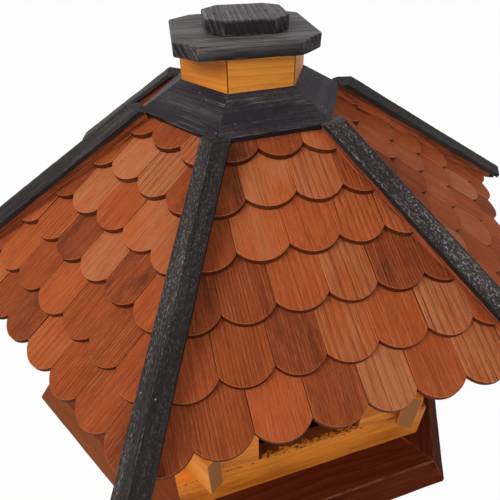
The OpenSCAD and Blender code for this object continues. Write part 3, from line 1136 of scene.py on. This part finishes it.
# %% Measure the slope
deck_board = boards_of("roof_deck_front")[0]
deck_top = upper_face(deck_board)
SLOPE_NORMAL = deck_top.normal.copy()
PITCH = math.acos(SLOPE_NORMAL.z)
AXIS_HEIGHT = SLOPE_NORMAL.dot(deck_top.calc_center_median()) / SLOPE_NORMAL.z
EXPOSURE = 49.0 * MM
LAP_THICK = 6.0 * MM
LAP_TILT = math.atan(LAP_THICK / EXPOSURE)
EAVE_REACH = -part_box("shingles_front")[0].y
EAVE_DOWN = (EAVE_REACH - 2 * LAP_THICK * math.sin(PITCH)) / math.cos(PITCH)
print("pitch", round(math.degrees(PITCH), 2), "degrees")
print("axis height", round(AXIS_HEIGHT, 4), "eave", round(EAVE_DOWN, 4))

# %% Say how each side is laid
JOINT = 0.4 * MM
WANDER = 1.6 * MM
HIP_GAP = 0.4 * MM
LEVEL = {"draw": 40, "width": SHINGLE_WIDTH, "twist": 0.0, "drops_mm": (0, 0, 0, 0, 0, 0)}
LAYING = {
    "front": {**LEVEL, "twist": 0.024, "shifts_mm": (4, 4.6, 7.7, 6.8, 13.8, 9.2),
              "drops_mm": (-2, -1, 0, 2.5, 4.8, 4.3)},
    "front_right": {**LEVEL, "shifts_mm": (-21, -13.7, -10.5, -11.4, -11.5, 7),
                    "drops_mm": (14, 22, 21, 24, 31, 18)},
    "back_right": {**LEVEL, "shifts_mm": (3, 9, -5, 6, -2, 4)},
    "back": {**LEVEL, "shifts_mm": (6, -3, -8, 2, 7, -5)},
    "back_left": {**LEVEL, "shifts_mm": (-6, 4, 2, -8, 5, 0)},
    "front_left": {"draw": 60, "width": 46.5 * MM, "twist": 0.028, "shifts_mm": (-8, -12, -10, -12, -12, -6),
                   "drops_mm": (2, 2.7, 5.4, 4.5, 6.7, 1)},
}


def laying_inputs(number, side):
    """The inputs of the tree for one side, by their names."""
    laying = LAYING[side]
    settings = {
        "Plate": shingle, "Finish": shingle_material, "Seed": laying["draw"] + number,
        "Width": laying["width"], "Exposure": EXPOSURE, "Eave": EAVE_DOWN, "Lift": LAP_THICK,
        "Tilt": LAP_TILT, "Joint": JOINT, "Wander": WANDER, "Twist": laying["twist"],
    }
    for course in range(COURSES):
        settings[f"Shift {course + 1}"] = laying["shifts_mm"][course] * MM
        settings[f"Drop {course + 1}"] = laying["drops_mm"][course] * MM
    return settings


print("inputs for the front:", len(laying_inputs(0, "front")))

# %% Lay and trim the six sides
def made_by(tree, mesh, settings):
    """The plain mesh that a geometry tree makes from a mesh, with its inputs set by name."""
    holder = placed("holder", mesh)
    modifier = holder.modifiers.new(tree.name, "NODES")
    modifier.node_group = tree
    for socket in tree.interface.items_tree:
        if socket.in_out == "INPUT" and socket.name in settings:
            modifier[socket.identifier] = settings[socket.name]
    graph = bpy.context.evaluated_depsgraph_get()
    result = bpy.data.meshes.new_from_object(holder.evaluated_get(graph), preserve_all_data_layers=True,
                                             depsgraph=graph)
    holder.modifiers.remove(modifier)
    bpy.data.objects.remove(holder)
    return result


def laid_side(number, side):
    """The shingles of one roof side, as a plain mesh in their place."""
    mesh = made_by(lay_shingles, bpy.data.meshes.new("holder"), laying_inputs(number, side))
    slope = Matrix.Translation((0, 0, AXIS_HEIGHT)) @ Matrix.Rotation(PITCH, 4, "X")
    mesh.transform(slope)
    trimmed = bmesh.new()
    trimmed.from_mesh(mesh)
    for hand in (-1, 1):
        hip = Vector((hand * math.cos(SIDE_ANGLE / 2), math.sin(SIDE_ANGLE / 2), 0))
        saw(trimmed, hip * -HIP_GAP, hip, keep_below=True)
    bmesh.ops.recalc_face_normals(trimmed, faces=trimmed.faces[:])
    trimmed.transform(Matrix.Rotation(SIDE_ANGLE * number, 4, "Z"))
    trimmed.to_mesh(mesh)
    trimmed.free()
    mesh.name = f"shingles_{side}_laid"
    piece = placed(mesh.name, mesh)
    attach(piece, "root")
    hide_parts("shingles_" + side)
    return piece


roof_sides = [laid_side(number, side) for number, side in enumerate(SIDES)]
bpy.data.objects.remove(shingle)
print("shingle faces on the roof:", sum(len(piece.data.polygons) for piece in roof_sides))
print("attributes:", [layer.name for layer in roof_sides[0].data.attributes])

# %% [markdown]
# Screws and pins
#
# Two screws hold the block on the cap, and small dull pins hold collar and battens. They are all one
# shape, a low cone with a flat top, at different sizes. A second geometry tree sets one on each vertex
# of a mesh and turns it to the face below. To find that face, a ray is sent straight down on the
# finished piece, so that every head sits flush however the board was roughened.

# %% Finishes of the metal
SCREW_COLOUR = (0.006, 0.005, 0.005, 1)
PIN_COLOUR = (0.260, 0.245, 0.230, 1)
METAL_DULL_COLOUR = (0.022, 0.017, 0.014, 1)
METAL_RELIEF = 0.2 * MM


def metal_finish(name, colour, metallic):
    """Metal with dull patches and fine dents."""
    material, tree = start_finish(name)
    place = Wire.node(tree, "ShaderNodeTexCoord", output="Object")
    dull = speckle(tree, place, (700, 700, 700), detail=3.0)
    tint = mix(tree, dull.between(0.45, 0.75) * 0.6, colour, METAL_DULL_COLOUR)
    end_finish(tree, tint, 0.35 + dull * 0.3, dull, METAL_RELIEF, {"Metallic": metallic})
    return material


screw_material = metal_finish("dark_screw", SCREW_COLOUR, 0.3)
pin_material = metal_finish("zinc_pin", PIN_COLOUR, 0.6)
print("metal finishes:", screw_material.name, pin_material.name)

# %% Build the tree that sets heads
HEAD_SIDES = 12
HEAD_TOP_SHARE = 0.38
HEAD_FOOT_SHARE = 0.5
HEAD_SIZES = (0.9, 1.1)


def set_heads_tree():
    """Vertices to heads, each turned along the facing that its vertex carries."""
    tree = bpy.data.node_groups.new("set_heads", "GeometryNodeTree")
    tree.interface.new_socket("Geometry", in_out="OUTPUT", socket_type="NodeSocketGeometry")
    kinds = {"Places": "Geometry", "Finish": "Material", "Width": "Float", "Height": "Float", "Seed": "Int"}
    for name, kind in kinds.items():
        tree.interface.new_socket(name, in_out="INPUT", socket_type="NodeSocket" + kind)
    inputs = tree.nodes.new("NodeGroupInput").outputs
    given = {name: Wire(inputs[name]) for name in kinds}
    head = Wire.node(tree, "GeometryNodeMeshCone", None, {
        "Vertices": HEAD_SIDES, "Radius Top": given["Width"] * HEAD_TOP_SHARE,
        "Radius Bottom": given["Width"] * HEAD_FOOT_SHARE, "Depth": given["Height"]})
    facing = Wire.node(tree, "GeometryNodeInputNamedAttribute", {"data_type": "FLOAT_VECTOR"},
                       {"Name": "facing"})
    turn = Wire.node(tree, "FunctionNodeAlignRotationToVector", {"axis": "Z"}, {"Vector": facing})
    size = Wire.node(tree, "FunctionNodeRandomValue", {"data_type": "FLOAT"},
                     {2: HEAD_SIZES[0], 3: HEAD_SIZES[1], 8: given["Seed"]}, output=1)
    laid = Wire.node(tree, "GeometryNodeInstanceOnPoints", None,
                     {"Points": given["Places"], "Instance": head, "Rotation": turn, "Scale": size})
    real = Wire.node(tree, "GeometryNodeRealizeInstances", None, {"Geometry": laid})
    done = Wire.node(tree, "GeometryNodeSetMaterial", None, {"Geometry": real, "Material": given["Finish"]})
    tree.links.new(done.socket, tree.nodes.new("NodeGroupOutput").inputs[0])
    return tree


set_heads = set_heads_tree()
print("tree:", set_heads.name, len(set_heads.nodes), "nodes")

# %% Find where the heads sit
SKY_HEIGHT = 2.0
made = {piece.name: piece for piece in pieces}


def faces_below(names, places):
    """For places in plan, the points straight below them on finished pieces, with the faces' normals."""
    found = []
    for name in names:
        mesh = made[name + "_worked"].data
        surface = BVHTree.FromPolygons([vert.co for vert in mesh.vertices],
                                       [polygon.vertices for polygon in mesh.polygons])
        for x, y in places:
            point, normal, _, _ = surface.ray_cast(Vector((x, y, SKY_HEIGHT)), -UP)
            if point:
                found.append((point, normal))
    return found


def in_plan(turns, along, out):
    """A place in plan, some turns of a side round from the front, along and out in millimetres."""
    return tuple(Matrix.Rotation(SIDE_ANGLE * turns, 2) @ Vector((along * MM, -out * MM)))


def on_side(side, along, out):
    """A place in plan on one side, given along it and out from the axis."""
    return in_plan(SIDES.index(side), along, out)


def on_hip(hip, across, out):
    """A place in plan on one hip, given across it and out from the axis."""
    return in_plan(HIPS.index(hip) + 0.5, across, out)


print("front of the collar:", on_side("front", 0, 100), "front right hip:", on_hip("front_right", 0, 325))

# %% Set the heads
SCREW_PLACES = [(-30.3 * MM, -0.5 * MM), (22.1 * MM, -6.8 * MM)]
SEEN_COLLAR_PINS = {"front_left": [(1.4, 68.5), (15.9, 73.2), (54.1, 98.0)]}
OTHER_COLLAR_PINS = [(-37.5, 91.3)]
BATTEN_PINS = [(-9.7, 323), (4.1, 327)]
SCREW_WIDTH = 4.8 * MM
SCREW_HEIGHT = 0.6 * MM
COLLAR_PIN_WIDTH = 1.3 * MM
BATTEN_PIN_WIDTH = 1.7 * MM
PIN_HEIGHT = 0.4 * MM
HEAD_SEED = 7


def heads(name, found, width, height, finish):
    """One piece with a head on each found face."""
    mesh = bpy.data.meshes.new(name)
    mesh.from_pydata([point for point, _ in found], [], [])
    facings = [value for _, normal in found for value in normal]
    mesh.attributes.new("facing", "FLOAT_VECTOR", "POINT").data.foreach_set("vector", facings)
    settings = {"Finish": finish, "Width": width, "Height": height, "Seed": HEAD_SEED}
    piece = placed(name, made_by(set_heads, mesh, settings))
    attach(piece, "root")
    return piece


collar_places = [on_side(side, *pin) for side in SIDES
                 for pin in SEEN_COLLAR_PINS.get(side, OTHER_COLLAR_PINS)]
batten_places = [on_hip(hip, *pin) for hip in HIPS for pin in BATTEN_PINS]
cap_faces = faces_below(["cap_block"], SCREW_PLACES)
collar_faces = faces_below(["collar_boards_a", "collar_boards_b"], collar_places)
batten_faces = faces_below(["hip_batten_" + hip for hip in HIPS], batten_places)
head_pieces = [
    heads("cap_screws", cap_faces, SCREW_WIDTH, SCREW_HEIGHT, screw_material),
    heads("collar_pins", collar_faces, COLLAR_PIN_WIDTH, PIN_HEIGHT, pin_material),
    heads("batten_pins", batten_faces, BATTEN_PIN_WIDTH, PIN_HEIGHT, pin_material),
]
print("heads:", {piece.name: len(piece.data.polygons) for piece in head_pieces})

# %% [markdown]
